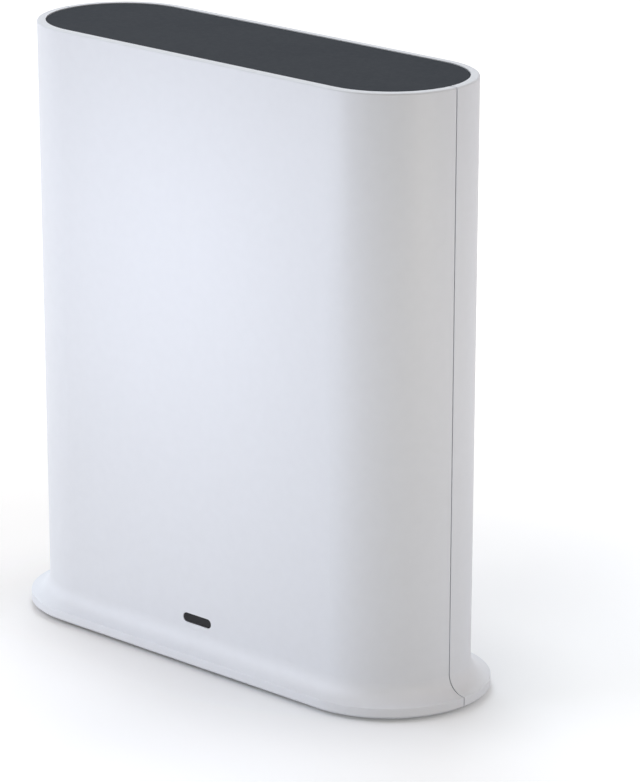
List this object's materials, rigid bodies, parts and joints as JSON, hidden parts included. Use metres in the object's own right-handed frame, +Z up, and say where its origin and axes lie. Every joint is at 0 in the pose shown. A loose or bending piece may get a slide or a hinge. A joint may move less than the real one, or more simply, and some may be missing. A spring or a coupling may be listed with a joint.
{
  "type": "security camera base station",
  "caption": "Slim upright base station for wireless security cameras: two white shells with round ends on a flared foot, a dark top panel, a status window, and rear ports with a sync button.",
  "frame": {"origin": "on the table under the middle of the housing", "axes": "+X along the width, -Y out of the front with the status window, +Y out of the rear with the ports, +Z up"},
  "size_m": [0.1358, 0.0484, 0.147],
  "materials": {
    "white_shell": "satin moulded",
    "grey_panel": "fine matt",
    "base_plastic": "matt moulded",
    "foot_rubber": "matt",
    "smoked_lens": "smoked satin",
    "clear_plastic": "clear",
    "led_case": "matt",
    "circuit_board": "solder mask",
    "connector_steel": "plated",
    "gold_contact": "plated",
    "connector_plastic": "moulded",
    "black_plastic": "moulded",
    "button_plastic": "satin moulded",
    "chip_black": "matt epoxy",
    "thermal_rubber": "soft",
    "sink_aluminium": "extruded",
    "antenna_copper": "etched",
    "lead_jacket": "extruded",
    "screw_steel": "zinc plated"
  },
  "bodies": {
    "housing": {"front_shell": "white_shell", "rear_shell": "white_shell", "top_panel": "grey_panel", "base_plate": "base_plastic", "rubber_foot_1": "foot_rubber", "rubber_foot_2": "foot_rubber", "rubber_foot_3": "foot_rubber", "rubber_foot_4": "foot_rubber", "led_window": "smoked_lens", "light_pipe": "clear_plastic", "status_led": "led_case", "main_board": "circuit_board", "ethernet_jack": "connector_steel", "ethernet_contacts": "gold_contact", "usb_socket": "connector_steel", "usb_tongue": "connector_plastic", "usb_contacts": "gold_contact", "dc_jack": "black_plastic", "dc_pin": "connector_steel", "sync_switch": "black_plastic", "reset_switch": "black_plastic", "processor": "chip_black", "thermal_pad": "thermal_rubber", "heat_sink": "sink_aluminium", "memory_chip": "chip_black", "radio_shield": "connector_steel", "ethernet_transformer": "chip_black", "power_capacitors": "sink_aluminium", "power_inductor": "chip_black", "antenna_left": "antenna_copper", "antenna_right": "antenna_copper", "antenna_lead_left": "lead_jacket", "antenna_lead_right": "lead_jacket", "antenna_plugs": "gold_contact", "board_screws": "screw_steel", "base_screws": "screw_steel"},
    "sync_key": {"sync_button": "button_plastic", "sync_plunger": "connector_plastic"},
    "reset_key": {"reset_plunger": "connector_plastic"}
  },
  "joints": [
    {"name": "sync_press", "type": "slide", "parent": "housing", "child": "sync_key", "axis": [0, -1, 0], "range_m": [0, 0.00035], "stiffness_N_per_m": 3000},
    {"name": "reset_press", "type": "slide", "parent": "housing", "child": "reset_key", "axis": [0, -1, 0], "range_m": [0, 0.00025], "stiffness_N_per_m": 4000}
  ]
}
